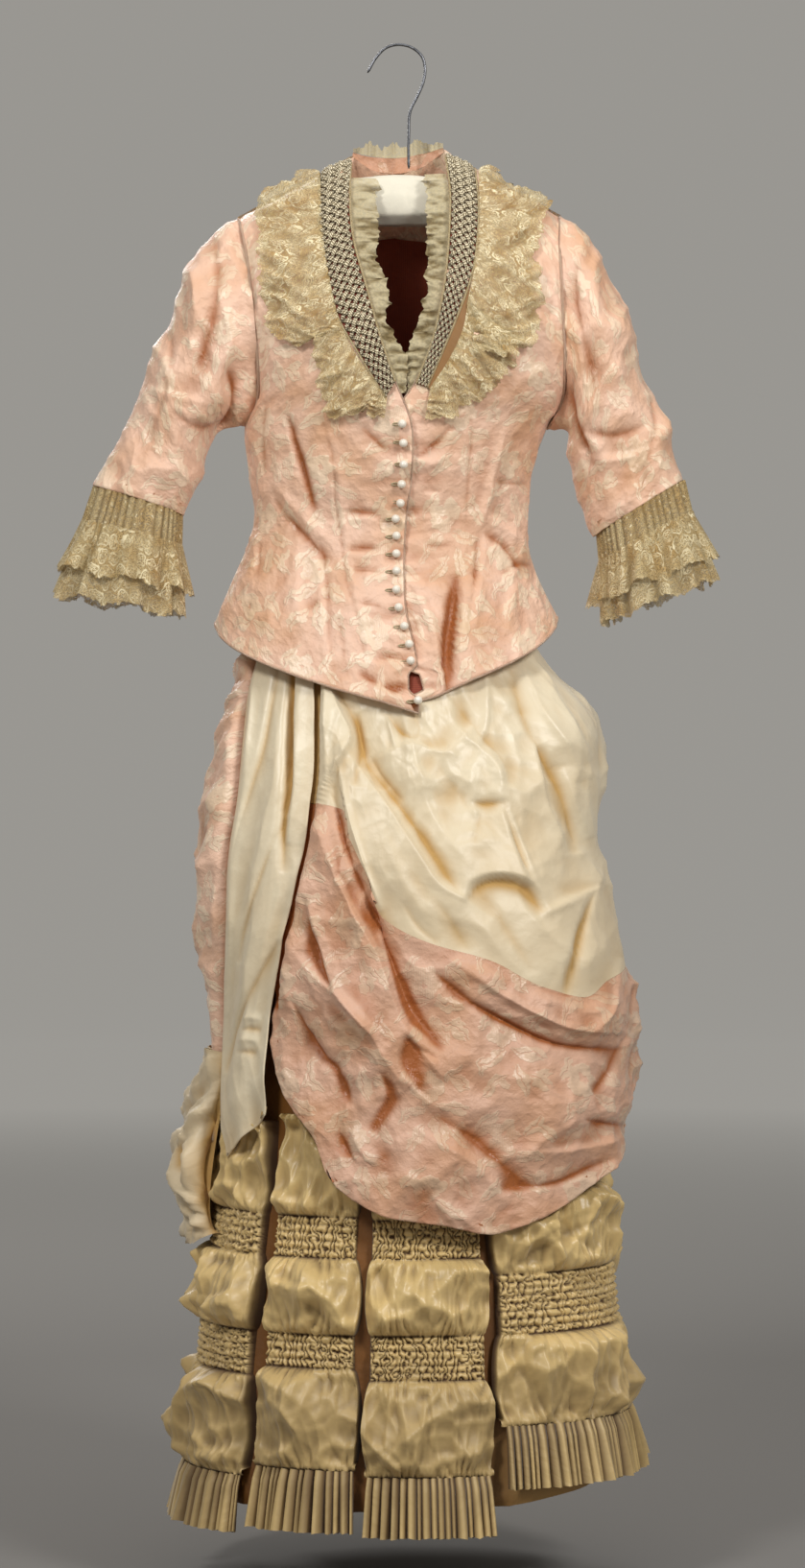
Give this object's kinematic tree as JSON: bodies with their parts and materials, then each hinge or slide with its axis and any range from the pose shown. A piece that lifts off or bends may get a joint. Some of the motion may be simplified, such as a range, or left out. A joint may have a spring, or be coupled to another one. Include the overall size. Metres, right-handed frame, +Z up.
{
  "type": "bustle dress on a hanger",
  "caption": "Two-piece historic day dress hanging on a padded hanger: buttoned bodice with lace collar and cuffs, draped overskirt over a shirred and pleated skirt.",
  "frame": {"origin": "inside top of the hanger's hook, where it hangs on a rail", "axes": "+Z up, the dress faces -Y, the wearer's left is at +X"},
  "size_m": [0.6953, 0.4977, 1.5289],
  "materials": {
    "steel_wire": "drawn steel wire",
    "padding_cover": "white cotton cover",
    "pearl": "pearly ball buttons",
    "brown_cotton": "brown foundation cotton",
    "dark_lining": "dark red-brown lining",
    "bead_braid": "plaited braid of small grey beads",
    "ecru_lace": "machine lace, net and gauze",
    "pink_brocade": "silk brocade with flowers and leaves",
    "cream_satin": "silk satin with a soft sheen"
  },
  "bodies": {
    "root": {"hanger_hook": "steel_wire", "hanger_pad": "padding_cover", "bodice_front_right": "pink_brocade", "bodice_front_left": "pink_brocade", "bodice_back": "pink_brocade", "bodice_lining": "dark_lining", "sleeve_right": "pink_brocade", "sleeve_left": "pink_brocade", "cuff_net_right": "ecru_lace", "cuff_lace_lower_right": "ecru_lace", "cuff_lace_upper_right": "ecru_lace", "collar_lace_upper_right": "ecru_lace", "collar_lace_lower_right": "ecru_lace", "braid_right": "bead_braid", "neck_frill_right": "ecru_lace", "cuff_net_left": "ecru_lace", "cuff_lace_lower_left": "ecru_lace", "cuff_lace_upper_left": "ecru_lace", "collar_lace_upper_left": "ecru_lace", "collar_lace_lower_left": "ecru_lace", "braid_left": "bead_braid", "neck_frill_left": "ecru_lace", "collar_lace_back": "ecru_lace", "neck_band": "pink_brocade", "neck_frill_back": "ecru_lace", "button_01": "pearl", "button_02": "pearl", "button_03": "pearl", "button_04": "pearl", "button_05": "pearl", "button_06": "pearl", "button_07": "pearl", "button_08": "pearl", "button_09": "pearl", "button_10": "pearl", "button_11": "pearl", "button_12": "pearl", "button_13": "pearl", "button_14": "pearl", "button_15": "pearl", "skirt_foundation": "brown_cotton", "shirred_panel_1": "cream_satin", "pleating_1": "cream_satin", "shirred_panel_2": "cream_satin", "pleating_2": "cream_satin", "shirred_panel_3": "cream_satin", "pleating_3": "cream_satin", "shirred_panel_4": "cream_satin", "pleating_4": "cream_satin", "shirred_panel_5": "cream_satin", "pleating_5": "cream_satin", "shirred_panel_6": "cream_satin", "pleating_6": "cream_satin", "shirred_panel_7": "cream_satin", "pleating_7": "cream_satin", "drape_side_panel": "cream_satin", "drape_front_satin": "cream_satin", "drape_front_brocade": "pink_brocade", "drape_back_brocade": "pink_brocade", "drape_back_pouf": "cream_satin"}
  },
  "joints": []
}
